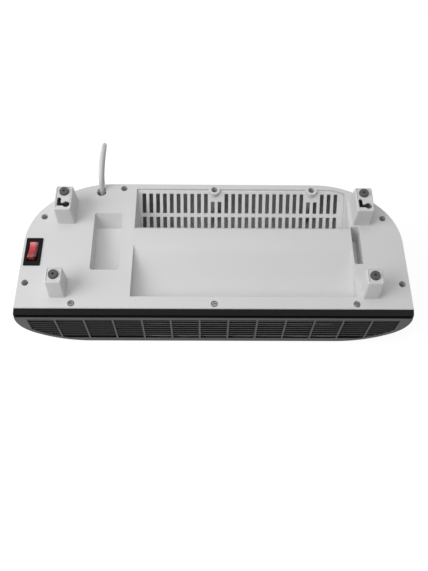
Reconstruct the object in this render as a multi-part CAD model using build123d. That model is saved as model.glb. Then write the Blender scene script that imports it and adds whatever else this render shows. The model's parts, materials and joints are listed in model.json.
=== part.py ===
"""Wall-mounted heating air curtain, lying on its front face with its back cover up.

Millimetres. While it is modelled, X runs across the body, Y runs from the outlet
face (Y = 0) towards the top of the body as it hangs, and Z = 0 is the outer face of
the back cover, with the inside below it. Every piece is then moved so that the origin
is under the middle of the body, on the surface that the front face rests on.
"""

import functools
import math
import os
from build123d import *

# Body
HALF_W = 260.0  # half the width of the back cover
BODY_Y = 198.5  # outlet face to the top edge of the back cover
DEPTH = 108.0  # back cover face to front face
SIDE_Y = 100.0  # length of the straight sides
FLAT_TOP_X = 145.0  # half the straight top edge
SKIN = 2.6  # wall of both covers
BULGE = 8.5  # how far the casing's belly stands out past the back cover
BELLY_Z = -41.0
RIM_OUT = 0.8  # how far the casing's rim stands out past the back cover
KNEE = (4.6, -15.0)  # where the rim's straight slope meets the belly
FRONT_RUN, SHOULDER_R = 92.5, 52.0  # width of the front's shoulder, and its side arc's radius
OUTER_Y = BODY_Y + BULGE

# Outlet side
BAND_H = 26.0  # glossy band under the back cover
GRILLE_TOP = -30.0
GRILLE_T = 2.5
WINDOW_X = 252.3
WINDOW_Z = (-97.0, -37.5)
BAR_PITCH, BAR_COUNT, BAR_T = 6.75, 8, 2.1
RIB_PITCH, RIB_COUNT, RIB_T = 39.15, 12, 2.6
MOUTH_X = (-103.0, 179.0)

# Back cover's recess, with the inlet valley at its far side
RECESS_X = (-110.7, 188.2)
RECESS_Y = (17.0, 190.5)
VALLEY_FOOT = (144.2, -41.5)
INLET_TOP = (188.3, -2.6)
INLET_FOOT = (146.0, -40.6)
INLET_T = 2.4
SLOT_W, SLOT_PITCH, SLOT_COUNT, SLOT_X0 = 5.4, 9.88, 29, -100.6
SLOT_ROWS = ((3.6, 31.6), (37.2, 54.0))  # distances down the slope

# Pockets
POCKET_X, POCKET_Y = (-167.0, -128.3), (57.0, 148.0)
SIDE_SLOT_X, SIDE_SLOT_Y, SIDE_SLOT_D = (190.2, 202.2), (67.5, 127.0), 27.0

# Standoff posts and feet
POST_H = 33.0
POST_X = 205.6
NEAR_POST = ((22.2, 14.3, 43.6), (21.6, 19.4, 42.0))  # base, top: width, near Y, far Y
FAR_POST = ((25.6, 129.6, 172.0), (23.6, 131.3, 170.0))
POST_WALL = 2.4
FOOT_Y = (31.2, 160.6)
FOOT_R, FOOT_H = 6.8, 3.2
KEY_BIG = (4.4, 140.4, 4.8)  # offset from the post's middle, Y, radius
KEY_SLOT_R, KEY_SLOT_DX, KEY_SLOT_Y = 2.6, -5.6, 149.0

# Screws: X, Y and the depth of the seat under the head
SCREWS = [(s * 250.3, 36.7, 24.0) for s in (-1, 1)] + [(s * 237.0, 141.3, 24.0) for s in (-1, 1)]
SCREWS += [(-129.0, 191.0, 24.0), (0.6, 189.7, 24.0), (140.5, 189.7, 24.0)]
SCREWS += [(-186.6, 6.6, 2.4), (0.0, 6.6, 2.4), (186.6, 6.6, 2.4)]
VALLEY_BOSSES = (0.6, 140.5)
HEAD_R, HEAD_H, SHANK_R, SHANK_L = 3.9, 2.4, 1.9, 15.0
WELL_R, WELL_OUT_R = 4.5, 5.5

# Fan and motor
FAN_Y, FAN_Z, FAN_R = 106.0, -60.0, 33.0
FAN_X = (-100.0, 174.0)
FAN_CELLS, BLADES, BLADE_T = 6, 16, 1.1
DUCT_X = (-106.0, 182.0)
DUCT_T = 2.2
MOTOR_X = -131.0
STACK_T = 17.0
PIN_R, SHAFT_R, RUNNING_GAP = 2.5, 2.0, 0.05

# Heater: flat tubes across the duct, between its two brackets
HEATER_X, HEATER_Y = (-98.0, 174.0), (14.0, 30.0)
TUBE_Z = (-52.0, -66.5, -81.0)

# Electronics
BOARD_X, BOARD_Y, BOARD_Z = (-246.0, -176.0), (48.0, 126.0), -62.0
BOARD_HOLES_X, BOARD_HOLES_Y = (-240.0, -182.0), (54.0, 120.0)
LENS_X, LENS_Y = (-170.0, -120.0), (38.0, 60.0)

# Switch
SWITCH_X, SWITCH_Y = (-256.7, -234.0), (62.3, 105.8)
ROCKER_W, ROCKER_L, ROCKER_TILT = 12.0, 27.0, 11.0

# Mains cord, by hand: from the clamp inside, over the top edge and down behind
CORD_D, CORD_SIDES = 6.8, 8
CORD_HOLE = (-161.0, 184.6, 6.8)
HANK_X, HANK_Y, HANK_Z = -30.0, 227.0, -DEPTH + 4.9
HANK_HALF, HANK_FOLD, HANK_WAIST = 66.0, 20.4, 4.6
HANK_LOOPS, HANK_PITCH, HANK_LEAD = 2, 7.9, 8.0
PLUG_HALF = 15.6
CORD_ROUTE = [
    (-161.0, 185.0, -30.0), (-161.0, 185.0, 6.0), (-159.8, 209.0, 30.0), (-158.0, 243.0, 30.0),
    (-162.0, 267.0, 6.0), (-170.0, 267.0, -28.0), (-174.0, 248.0, -56.0), (-171.0, 228.0, -82.0),
    (-153.0, 214.0, -100.5), (-130.0, 208.0, -103.1),
]


def move_home(shape):
    """From the modelling place to the part's own origin."""
    return Pos(0, -OUTER_Y / 2, DEPTH) * shape


def block(x, y, z):
    """Box between pairs of limits."""
    size = [b - a for a, b in (x, y, z)]
    middle = [(a + b) / 2 for a, b in (x, y, z)]
    return Pos(*middle) * Box(*size)


def across(points, x):
    """Prism along X on an outline of (Y, Z) points or edges."""
    edges = points if isinstance(points[0], Edge) else Polyline(*points, close=True)
    return extrude(Plane.YZ.offset(x[0]) * make_face(edges), amount=x[1] - x[0])


def peg(x, y, z, r):
    """Upright cylinder between two heights."""
    return Pos(x, y, (z[0] + z[1]) / 2) * Cylinder(r, z[1] - z[0])


def rod(x, y, z, r):
    """Cylinder along X between two places."""
    return Pos((x[0] + x[1]) / 2, y, z) * Rot(0, 90, 0) * Cylinder(r, x[1] - x[0])


def corner_radii():
    """Radii of the two eighth-circle arcs that make each rounded top corner."""
    k = math.sqrt(0.5)
    run, rise = HALF_W - FLAT_TOP_X, BODY_Y - SIDE_Y
    low = (run * (1 - k) - rise * k) / (1 - 2 * k)
    high = (rise * (1 - k) - run * k) / (1 - 2 * k)
    return low, high


def outline_edges(grow):
    """Sides, corners and top of the body seen from the back, as edges from left to right."""
    low, high = (r + grow for r in corner_radii())
    side, top = HALF_W + grow, BODY_Y + grow
    c1, c2 = side - low, top - high
    return [
        Line((-side, 0), (-side, SIDE_Y)),
        CenterArc((-c1, SIDE_Y), low, 180, -45),
        CenterArc((-FLAT_TOP_X, c2), high, 135, -45),
        Line((-FLAT_TOP_X, top), (FLAT_TOP_X, top)),
        CenterArc((FLAT_TOP_X, c2), high, 90, -45),
        CenterArc((c1, SIDE_Y), low, 45, -45),
        Line((side, SIDE_Y), (side, 0)),
    ]


def slab(grow, z):
    """Body outline as a plate between two heights."""
    side = HALF_W + grow
    face = make_face(outline_edges(grow) + [Line((side, 0), (-side, 0))])
    return extrude(Pos(0, 0, z[0]) * face, amount=z[1] - z[0])


def casing_section(inset):
    """Section of the casing's wall side as a face in (distance out past the outline, Z)."""
    core = BULGE - FRONT_RUN
    rim, knee = (RIM_OUT - inset, -SKIN), (KNEE[0] - inset, KNEE[1])
    slope = Line(rim, knee)
    bend = TangentArc(knee, (BULGE - inset, BELLY_Z), tangent=slope % 1)
    rise = DEPTH + BELLY_Z
    front_r = ((FRONT_RUN - SHOULDER_R) ** 2 + rise**2 - SHOULDER_R**2) / (2 * (rise - SHOULDER_R))
    side_c, front_c = (BULGE - SHOULDER_R, BELLY_Z), (core, front_r - DEPTH)
    meet = math.degrees(math.atan2(side_c[1] - front_c[1], side_c[0] - front_c[0]))
    shoulder = [
        CenterArc(side_c, SHOULDER_R - inset, 0, meet),
        CenterArc(front_c, front_r - inset, meet, -90 - meet),
    ]
    close = Polyline((core, inset - DEPTH), (core, -SKIN), rim)
    return make_face([slope, bend] + shoulder + close.edges())


@functools.cache
def casing_solid(inset):
    """The whole casing under the back cover as a solid, drawn in all round by inset."""
    low, high = corner_radii()
    side_c, top_c = Vector(low - HALF_W, SIDE_Y), Vector(-FLAT_TOP_X, BODY_Y - high)
    section = casing_section(inset)

    def upright(centre, r, degrees):
        out = Vector(1, 0, 0).rotate(Axis.Z, degrees)
        return Plane(centre + out * r, x_dir=out, z_dir=out.rotate(Axis.Z, -90)) * section

    half = extrude(upright(side_c, low, 180), amount=SIDE_Y, dir=(0, -1, 0))
    half += revolve(upright(side_c, low, 180), Axis(side_c, (0, 0, -1)), 45)
    half += revolve(upright(top_c, high, 135), Axis(top_c, (0, 0, -1)), 45)
    half += extrude(upright(top_c, high, 90), amount=FLAT_TOP_X, dir=(1, 0, 0))
    return half + mirror(half, Plane.YZ) + slab(BULGE - FRONT_RUN, (inset - DEPTH, -SKIN))


def recess_floor(drop):
    """Near part of the recess: a sloping floor that swells up to the flush crest."""
    near, far = RECESS_Y[0] - drop, 98.0
    a, b, c, d = (near, -24.8 - drop), (41.0, -19.6 - drop), (near, 0), (far, 0)
    hump = Spline((41.0, -19.6 - drop), (64.0, -12.2 - drop), (79.0, -6.2 - drop), (far, -drop))
    edges = [Line(c, a), Line(a, b), hump]
    edges += [Line((far, -drop), d)] if drop else []
    return edges + [Line(d, c)]


def valley(drop):
    """Far part of the recess, between the rounded crest and the sloping inlet."""
    y, z = VALLEY_FOOT
    crest = TangentArc((121.0 - drop, 0), (126.6 - drop, -4.4), tangent=(1, 0))
    foot = (y - drop, z - drop)
    run = [(126.6 - drop, -4.4), foot, (INLET_FOOT[0] + drop, INLET_FOOT[1] - drop)]
    run += [(INLET_TOP[0] + 3 * drop, INLET_TOP[1])]
    run += [(RECESS_Y[1] + 3 * drop, INLET_TOP[1]), (RECESS_Y[1] + 3 * drop, 0), (121.0 - drop, 0)]
    return [crest] + Polyline(*run).edges()


def slant_wall(out):
    """Wedge that draws the recess's left end wall in towards its foot."""
    x = RECESS_X[0] - out
    face = make_face(Polyline((x, 0), (x + 7.4, -46.0), (x - 12, -46.0), (x - 12, 0), close=True))
    return extrude(Plane.XZ.offset(-100.0) * face, amount=-100.0)


def post(shape, side):
    """Tapered standoff, hollow from inside, with a shallow tray in its top."""
    (w0, near0, far0), (w1, near1, far1) = shape

    def level(z, w, near, far, inset):
        spot = Pos(side * POST_X, (near + far) / 2, z)
        return spot * RectangleRounded(w - 2 * inset, far - near - 2 * inset, 2.6 - 0.6 * inset)

    edge = 1.2
    sides = [level(0, w0, near0, far0, 0), level(POST_H - edge, w1, near1, far1, 0)]
    body = loft(sides, ruled=True)
    body += loft([sides[1], level(POST_H, w1, near1, far1, edge)], ruled=True)
    hollow = loft(
        [level(-SKIN, w0, near0, far0, POST_WALL), level(POST_H - 3.4, w1, near1, far1, POST_WALL)],
        ruled=True,
    )
    tray = extrude(level(POST_H - 0.8, w1, near1, far1, 2.3), amount=5)
    return body - tray, hollow


def keyhole(side):
    """Entry hole and L-shaped slot that hang the body on a wall screw."""
    dx, y, r = KEY_BIG
    x, turn = side * POST_X + dx, side * POST_X + KEY_SLOT_DX
    z = (POST_H - 6, POST_H + 1)
    leg = block((turn, x), (y - KEY_SLOT_R, y + KEY_SLOT_R), z)
    climb = block((turn - KEY_SLOT_R, turn + KEY_SLOT_R), (y - KEY_SLOT_R, KEY_SLOT_Y), z)
    return peg(x, y, z, r) + leg + climb + peg(turn, KEY_SLOT_Y, z, KEY_SLOT_R)


def pocket_tub():
    """Sloping-floored pocket left of the recess: its walls and the space inside."""
    x, y = POCKET_X, POCKET_Y

    def tub(wall):
        profile = [(y[0] - wall, 0), (y[0] + 1 - wall, -33 - wall), (y[1] - 13 + wall, -20 - wall), (y[1] + wall, 0)]
        plan = RectangleRounded(x[1] - x[0] + 2 * wall, y[1] - y[0] + 2 * wall, 3.6 + wall)
        middle = Pos((x[0] + x[1]) / 2, (y[0] + y[1]) / 2, -60)
        return across(profile, (x[0] - wall, x[1] + wall)) & extrude(middle * plan, amount=70)

    return tub(1.8), tub(0)


def side_slot_tub():
    """Deep narrow slot right of the recess: its walls and the space inside."""
    x, y = SIDE_SLOT_X, SIDE_SLOT_Y

    def tub(wall):
        def level(z, ends):
            plan = RectangleRounded(x[1] - x[0] + 2 * wall - ends / 4, y[1] - y[0] + 2 * wall - 2 * ends, 2.4)
            return Pos((x[0] + x[1]) / 2, (y[0] + y[1]) / 2 - ends / 2, z) * plan

        return loft([level(0, 0), level(-SIDE_SLOT_D - wall, 5.0)], ruled=True)

    return tub(1.7), tub(0)


def rear_cover():
    """White back cover: plate, rim, recess, pockets, posts and screw wells."""
    plate = slab(0, (-SKIN, 0))
    rim = (slab(-2.5, (-9.0, -SKIN)) - slab(-4.3, (-9.0, -SKIN))) & block((-300, 300), (14, 210), (-9, 0))
    end_x = (RECESS_X[0] - SKIN, RECESS_X[1] + SKIN - 0.8)
    floor_block, floor_space = across(recess_floor(SKIN), end_x), across(recess_floor(0), RECESS_X)
    valley_space = (across(valley(0), RECESS_X) - slant_wall(0)) & slab(-6.0, (-60, 1))
    valley_block = (across(valley(SKIN), end_x) - slant_wall(SKIN)) & block((-200, 200), (100, 196), (-46, 0))
    valley_block = valley_block & slab(-3.4, (-60, 0))
    inlet_hole = across(inlet_section(0.0, 9.0), (RECESS_X[0] - 9, RECESS_X[1] + 9))
    pocket, pocket_space = pocket_tub()
    side_slot, side_space = side_slot_tub()
    cover = plate + rim + floor_block + (valley_block - inlet_hole) + pocket + side_slot
    spaces = [floor_space, valley_space, pocket_space, side_space]
    for side in (-1, 1):
        for shape in (NEAR_POST, FAR_POST):
            solid, hollow = post(shape, side)
            cover += solid
            spaces.append(hollow)
        spaces.append(keyhole(side))
        spaces += [peg(side * POST_X, y, (POST_H - 6, POST_H + 1), 3.1) for y in FOOT_Y]
    for space in spaces:
        cover -= space
    return screw_wells(cover)


def screw_wells(cover):
    """Adds the wells that the cover screws sit in, and the bosses in the valley."""
    for x in VALLEY_BOSSES:
        cover += peg(x, 189.7, (-13.0, 0), 8.0) & slab(-2.2, (-13.0, 0))
    for x, y, seat in SCREWS:
        wall = WELL_OUT_R if seat > 10 else 5.6
        cover += peg(x, y, (-seat - 2.0, -1.0), wall)
    for x, y, seat in SCREWS:
        cover -= peg(x, y, (-seat, 1), WELL_R)
        cover -= peg(x, y, (-seat - 3, 0), SHANK_R + 0.2)
    x, y, r = CORD_HOLE
    cover += peg(x, y, (-8.0, -1.0), r + 2.0)
    cover -= peg(x, y, (-12, 1), r)
    cover -= block((SWITCH_X[0] + 2, SWITCH_X[1] - 2), (SWITCH_Y[0] + 2, SWITCH_Y[1] - 2), (-5, 1))
    return cover


def inlet_section(top, thick):
    """Outline of the sloping inlet panel: a flange under the plate, then the slope."""
    (y1, z1), (y0, z0) = INLET_TOP, INLET_FOOT
    run = math.hypot(y1 - y0, z1 - z0)
    ny, nz = (z1 - z0) / run * thick, -(y1 - y0) / run * thick
    flange = 6.0
    return [
        (y1 + flange, z1 - top), (y1, z1 - top), (y0, z0), (y0 + ny, z0 + nz),
        (y1 + ny * 0.55, z1 - thick), (y1 + flange, z1 - thick),
    ]


def inlet_grille():
    """Sloping inlet panel with two rows of finger-safe slots."""
    panel = across(inlet_section(0.0, INLET_T), (RECESS_X[0] - 1.5, RECESS_X[1] + 1.5))
    panel -= slant_wall(0)
    panel = panel & block((-200, RECESS_X[1]), (100, 192.0), (-60, 0)) & slab(-4.6, (-60, 0))
    angle = math.degrees(math.atan2(INLET_TOP[1] - INLET_FOOT[1], INLET_TOP[0] - INLET_FOOT[0]))
    slots = []
    for i in range(SLOT_COUNT):
        x = SLOT_X0 + i * SLOT_PITCH
        behind_boss = any(abs(x - boss) < 8.0 + SLOT_W / 2 for boss in VALLEY_BOSSES)
        for near, far in SLOT_ROWS:
            near = 15.0 if behind_boss and near < 10 else near
            bar = Pos(0, -(near + far) / 2, 0) * Box(SLOT_W, far - near, 3 * INLET_T)
            slots.append(Pos(x, *INLET_TOP) * Rot(angle, 0, 0) * bar)
    for x in VALLEY_BOSSES:
        slots.append(peg(x, 189.7, (-13.0, 0), 8.0))
        slots.append(peg(x, 189.7, (-20.0, 0), WELL_OUT_R))
    return panel - slots


def front_cover():
    """Dark front shell: swept wall, outlet-side wall with the air mouth, and screw bosses."""
    full = casing_solid(0)
    shell = (full - casing_solid(SKIN)) & block((-300, 300), (GRILLE_T, 300), (-200, 0))
    wall = casing_solid(1.0) & block((-300, 300), (GRILLE_T, GRILLE_T + SKIN), (-DEPTH, 0))
    band = full & block((-300, 300), (0, GRILLE_T + SKIN), (-BAND_H, 0))
    cover = shell + wall + band
    cover -= block(MOUTH_X, (-1, 20), (WINDOW_Z[0] - 1.5, WINDOW_Z[1] + 1.5))
    inside = casing_solid(1.0)
    for x, y, seat in SCREWS:
        foot, r = (-DEPTH, 4.6) if y > 10 else (-BAND_H, 4.0)
        cover += peg(x, y, (foot, -seat - 2.0), r) & inside
    for x, y, seat in SCREWS:
        cover -= peg(x, y, (-seat - 20.0, -seat), SHANK_R + 0.02)
        cover -= peg(x, y, (-seat - 2.0, 0), WELL_OUT_R + 0.1)
    return cover - lens_hole()


def lens_hole():
    """Window in the front face for the remote's receiver."""
    plan = RectangleRounded(LENS_X[1] - LENS_X[0], LENS_Y[1] - LENS_Y[0], 4.0)
    return extrude(Pos(sum(LENS_X) / 2, sum(LENS_Y) / 2, -DEPTH - 1) * plan, amount=SKIN + 3)


def receiver_lens():
    """Smoked window plug, seated flush in the front face with a flange inside."""
    w, h = LENS_X[1] - LENS_X[0], LENS_Y[1] - LENS_Y[0]
    middle = Pos(sum(LENS_X) / 2, sum(LENS_Y) / 2, -DEPTH + 0.4)
    plug = extrude(middle * RectangleRounded(w - 0.3, h - 0.3, 3.8), amount=SKIN - 0.4)
    flange = extrude(middle * Pos(0, 0, SKIN - 0.4) * RectangleRounded(w + 6, h + 6, 5), amount=1.6)
    return plug + flange


def outlet_grille():
    """Gray outlet plate that closes the body's lower side: frame, fine bars and ribs."""
    z = (-DEPTH - 1, GRILLE_TOP)
    plate = casing_solid(0) & block((-300, 300), (0, GRILLE_T), z)
    reach = casing_solid(6.5) & block((-WINDOW_X, WINDOW_X), (-1, 9), WINDOW_Z)
    plate -= reach
    bars = []
    for i in range(BAR_COUNT):
        mid = WINDOW_Z[1] - 4.6 - i * BAR_PITCH
        bars.append(block((-256, 256), (0.7, GRILLE_T), (mid - BAR_T / 2, mid + BAR_T / 2)))
    for k in range(RIB_COUNT):
        x = (k - (RIB_COUNT - 1) / 2) * RIB_PITCH
        bars.append(block((x - RIB_T / 2, x + RIB_T / 2), (0, GRILLE_T), (WINDOW_Z[0] - 2, WINDOW_Z[1] + 2)))
    inner = casing_solid(4.0) & block((-256, 256), (0, GRILLE_T), (-101, -35))
    return plate + [bar & inner for bar in bars]


def rubber_feet():
    """Four tapered rubber feet plugged into the posts' trays."""
    feet = []
    for side in (-1, 1):
        for y in FOOT_Y:
            low = POST_H - 0.8
            pad = Pos(side * POST_X, y, low + FOOT_H / 2) * Cone(FOOT_R, FOOT_R - 0.7, FOOT_H)
            stem = peg(side * POST_X, y, (low - 4.0, low), 3.0)
            feet.append(pad + stem - peg(side * POST_X, y, (low - 1, low + 9), 1.4))
    return feet


def cover_screws():
    """Ten pan-head screws that hold the back cover on."""
    screws = []
    for x, y, seat in SCREWS:
        head = peg(x, y, (-seat, -seat + HEAD_H), HEAD_R)
        head = chamfer(head.edges().group_by(Axis.Z)[-1], 0.7)
        cross = Box(4.4, 1.0, 1.8) + Box(1.0, 4.4, 1.8)
        shank = peg(x, y, (-seat - SHANK_L, -seat), SHANK_R)
        screws.append(head + shank - Pos(x, y, -seat + HEAD_H - 0.7) * Rot(0, 0, 25 * len(screws)) * cross)
    return screws


def switch_housing():
    """Black switch body: flanged bezel over a box with spade terminals."""
    x, y = SWITCH_X, SWITCH_Y
    bezel = block(x, y, (0, 1.8))
    bezel = chamfer(bezel.edges().group_by(Axis.Z)[-1], 0.9)
    mid_x, mid_y = sum(x) / 2, sum(y) / 2
    box = block((x[0] + 2.2, x[1] - 2.2), (y[0] + 2.2, y[1] - 2.2), (-26.0, 0))
    well = block(
        (mid_x - ROCKER_W / 2 - 0.6, mid_x + ROCKER_W / 2 + 0.6),
        (mid_y - ROCKER_L / 2 - 1.6, mid_y + ROCKER_L / 2 + 1.6),
        (-15.0, 3),
    )
    tabs = [block((mid_x - 3.2, mid_x + 3.2), (mid_y + d - 0.4, mid_y + d + 0.4), (-37.0, -25.0)) for d in (-9, 0, 9)]
    ears = rod((mid_x - ROCKER_W / 2 - 1.8, mid_x + ROCKER_W / 2 + 1.8), mid_y, -5.0, 1.5 + RUNNING_GAP)
    return bezel + box + tabs - well - ears


def switch_rocker():
    """Red rocker on two pivot stubs, stored with its far end pressed in."""
    mid_x, mid_y = sum(SWITCH_X) / 2, sum(SWITCH_Y) / 2
    half = ROCKER_L / 2
    top = ThreePointArc((mid_y - half, 4.4), (mid_y, 1.6), (mid_y + half, 4.4))
    rim = Polyline((mid_y + half, 4.4), (mid_y + half - 1.5, -4.5), (mid_y + 5, -8.5), (mid_y - 5, -8.5),
                   (mid_y - half + 1.5, -4.5), (mid_y - half, 4.4))
    x = (mid_x - ROCKER_W / 2, mid_x + ROCKER_W / 2)
    paddle = across([top] + rim.edges(), x)
    stubs = rod((x[0] - 1.5, x[1] + 1.5), mid_y, -5.0, 1.5)
    pivot = Axis((mid_x, mid_y, -5.0), (1, 0, 0))
    return (paddle + stubs).rotate(pivot, -ROCKER_TILT)


def on_fan(r, degrees):
    """Point at a radius and angle about the fan's axis."""
    a = math.radians(degrees)
    return FAN_Y + r * math.cos(a), FAN_Z + r * math.sin(a)


def guide_face(thick):
    """Rear guide: a scroll round the fan that runs on to the mouth's upper edge."""
    lip, mid, top = on_fan(36.0, 22), on_fan(39.0, 62), on_fan(42.5, 104)
    mouth = (GRILLE_T + SKIN, WINDOW_Z[1] + 2.5)
    inner = [ThreePointArc(lip, mid, top), Line(top, mouth)]
    lip2, mid2, top2 = on_fan(36.0 + thick, 22), on_fan(39.0 + thick, 62), on_fan(42.5 + thick, 104)
    outer = [Line(mouth, (mouth[0], mouth[1] + thick)), Line((mouth[0], mouth[1] + thick), top2)]
    return inner + outer + [ThreePointArc(top2, mid2, lip2), Line(lip2, lip)]


def fan_duct():
    """Duct moulding: rear guide, two cheeks with bearing seats, and hanger posts."""
    guide = across(guide_face(DUCT_T), DUCT_X)
    near = GRILLE_T + SKIN
    cheek = [(near, WINDOW_Z[1] + 2.5), (near, WINDOW_Z[0] - 2.5), on_fan(40, -112), on_fan(40, 104)]
    cheeks = []
    for x, hole in (((DUCT_X[0] - DUCT_T, DUCT_X[0]), 15.0), ((DUCT_X[1], DUCT_X[1] + DUCT_T), 10.0)):
        disc = rod(x, FAN_Y, FAN_Z, 38.5)
        cheeks.append(across(cheek, x) + disc - rod((x[0] - 1, x[1] + 1), FAN_Y, FAN_Z, hole))
    duct = guide + cheeks
    for x in (-70.0, 150.0):
        for y in (103.0, 113.0):
            duct += peg(x, y, (-22.0, -SKIN), 4.0)
    for s in (-1, 1):
        duct += rod((MOTOR_X + STACK_T / 2 + 6.6, DUCT_X[0]), FAN_Y - 17, FAN_Z + s * 14.5, 3.4)
    return duct


def front_guide():
    """Tongue and lower guide wall under the fan, ending at the mouth's lower edge."""
    nose, near = on_fan(36.5, -112), GRILLE_T + SKIN
    low = (near, WINDOW_Z[0] - 2.5)
    outline = [low, (nose[0] - 1.0, nose[1] + 0.6), nose, (nose[0] + 1.2, nose[1] - 2.4), (near, low[1] - DUCT_T)]
    return across(outline, DUCT_X)


def fan_impeller():
    """Cross-flow impeller: six cells of forward-curved blades between thin rings."""
    cell = (FAN_X[1] - FAN_X[0]) / FAN_CELLS
    inner_r, ring_t = 25.0, 1.6
    blade = make_face(blade_edges(inner_r, FAN_R - 0.8))
    parts = []
    for c in range(FAN_CELLS):
        x = FAN_X[0] + c * cell
        skew = c * 360.0 / BLADES / 2
        spot = Plane.YZ.offset(x + ring_t / 2)
        for b in range(BLADES):
            turned = Pos(FAN_Y, FAN_Z) * Rot(0, 0, skew + b * 360.0 / BLADES) * blade
            parts.append(extrude(spot * turned, amount=cell))
    rings = []
    for c in range(FAN_CELLS + 1):
        x = FAN_X[0] + c * cell
        ring = rod((x, x + ring_t), FAN_Y, FAN_Z, FAN_R)
        if 0 < c < FAN_CELLS:
            ring -= rod((x - 1, x + ring_t + 1), FAN_Y, FAN_Z, inner_r - 1.2)
        rings.append(ring)
    ends = [rod((FAN_X[0] - 4.0, FAN_X[0] + 9.0), FAN_Y, FAN_Z, 7.0)]
    ends.append(rod((FAN_X[1] - 7.0, FAN_X[1] + 4.5), FAN_Y, FAN_Z, 5.5))
    wheel = rings[0] + rings[1:] + parts + ends
    wheel -= rod((FAN_X[0] - 9, FAN_X[0] + 7.0), FAN_Y, FAN_Z, SHAFT_R)
    return wheel - rod((FAN_X[1] - 5.0, FAN_X[1] + 9), FAN_Y, FAN_Z, PIN_R)


def blade_edges(r0, r1):
    """Section of one blade, a faceted crescent that leans forward towards its tip."""
    root = Vector(r0, 0)
    tip = Vector(r1, 0).rotate(Axis.Z, 14)
    chord = tip - root
    side = Vector(-chord.Y, chord.X).normalized()
    end = side * (BLADE_T * 0.25)
    hollow = [root + chord * t - side * 1.3 for t in (0.3, 0.7)]
    back = [root + chord * t - side * (1.3 + BLADE_T) for t in (0.7, 0.3)]
    return Polyline(root + end, *hollow, tip + end, tip - end, *back, root - end, close=True)


def fan_end_pin():
    """Steel pin in the impeller's free end."""
    return rod((FAN_X[1] - 5.0, DUCT_X[1] + 8.0), FAN_Y, FAN_Z, PIN_R)


def end_bush():
    """Plain bearing bush for the free end."""
    x = (DUCT_X[1] - 1.5, DUCT_X[1] + 6.0)
    return rod(x, FAN_Y, FAN_Z, 5.0) - rod((x[0] - 1, x[1] + 1), FAN_Y, FAN_Z, PIN_R + RUNNING_GAP)


def bearing_cushion():
    """Rubber ring that holds the bush in the duct's right cheek."""
    seat = rod((DUCT_X[1], DUCT_X[1] + DUCT_T), FAN_Y, FAN_Z, 10.0)
    lip = rod((DUCT_X[1] + DUCT_T, DUCT_X[1] + DUCT_T + 2.4), FAN_Y, FAN_Z, 12.5)
    return seat + lip - rod((DUCT_X[1] - 3, DUCT_X[1] + 9), FAN_Y, FAN_Z, 5.0)


def motor_stator():
    """Laminated C-shaped stack with a round gap for the rotor."""
    x = (MOTOR_X - STACK_T / 2, MOTOR_X + STACK_T / 2)
    stack = block(x, (FAN_Y - 22, FAN_Y + 50), (FAN_Z - 19, FAN_Z + 19))
    window = block((x[0] - 1, x[1] + 1), (FAN_Y + 22, FAN_Y + 38), (FAN_Z - 10, FAN_Z + 10))
    stack -= window
    stack -= rod((x[0] - 1, x[1] + 1), FAN_Y, FAN_Z, 12.3)
    slots = [block((x[0] - 1, x[1] + 1), (FAN_Y - 1.2, FAN_Y + 1.2), (FAN_Z + s * 16 - 3.5, FAN_Z + s * 16 + 3.5)) for s in (-1, 1)]
    return stack - slots - [rod((x[0] - 1, x[1] + 1), FAN_Y - 17, FAN_Z + s * 14.5, 1.9) for s in (-1, 1)]


def motor_coil():
    """Bobbin wound round the stack's far leg."""
    y, z = (FAN_Y + 38.0, FAN_Y + 50.0), (FAN_Z - 9.8, FAN_Z + 9.8)
    x = (MOTOR_X - STACK_T / 2, MOTOR_X + STACK_T / 2)
    coil = block((x[0] - 6, x[1] + 6), (y[0] - 7, y[1] + 7), (z[0] + 1.5, z[1] - 1.5))
    coil = fillet(coil.edges().filter_by(Axis.Z), 4.0)
    for end in (z[0], z[1] - 1.5):
        coil += block((x[0] - 7.5, x[1] + 7.5), (y[0] - 8.5, y[1] + 8.5), (end, end + 1.5))
    return coil - block(x, y, (z[0] - 1, z[1] + 1))


def motor_brackets():
    """Two bearing brackets bolted either side of the stack."""
    brackets = []
    for side in (-1, 1):
        face = MOTOR_X + side * (STACK_T / 2 + 5.0)
        x = sorted((face, face + side * 1.6))
        plate = rod(x, FAN_Y, FAN_Z, 12.0) + block(x, (FAN_Y - 21, FAN_Y - 5), (FAN_Z - 18, FAN_Z + 18))
        cup = rod(sorted((face, face + side * 5.0)), FAN_Y, FAN_Z, 6.0)
        legs = []
        for s in (-1, 1):
            spacer = rod(sorted((face, MOTOR_X + side * STACK_T / 2)), FAN_Y - 17, FAN_Z + s * 14.5, 3.4)
            legs.append(spacer)
        bracket = plate + cup + legs
        bracket -= rod((face - 9, face + 9), FAN_Y, FAN_Z, SHAFT_R + RUNNING_GAP)
        brackets.append(bracket - [rod((face - 9, face + 9), FAN_Y - 17, FAN_Z + s * 14.5, 1.6) for s in (-1, 1)])
    return brackets


def motor_rotor():
    """Squirrel-cage rotor."""
    x = (MOTOR_X - STACK_T / 2 - 1.5, MOTOR_X + STACK_T / 2 + 1.5)
    body = chamfer(rod(x, FAN_Y, FAN_Z, 11.8).edges(), 0.8)
    return body - rod((x[0] - 1, x[1] + 1), FAN_Y, FAN_Z, SHAFT_R)


def motor_shaft():
    """Steel shaft from the motor into the impeller's hub."""
    return rod((MOTOR_X - STACK_T / 2 - 11.5, FAN_X[0] + 6.5), FAN_Y, FAN_Z, SHAFT_R)


def motor_screws():
    """Two long screws through the brackets and the stack."""
    reach = STACK_T / 2 + 6.6
    screws = []
    for s in (-1, 1):
        shank = rod((MOTOR_X - reach, MOTOR_X + reach), FAN_Y - 17, FAN_Z + s * 14.5, 1.55)
        head = rod((MOTOR_X - reach - 2.0, MOTOR_X - reach), FAN_Y - 17, FAN_Z + s * 14.5, 3.0)
        screws.append(shank + head)
    return screws


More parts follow.
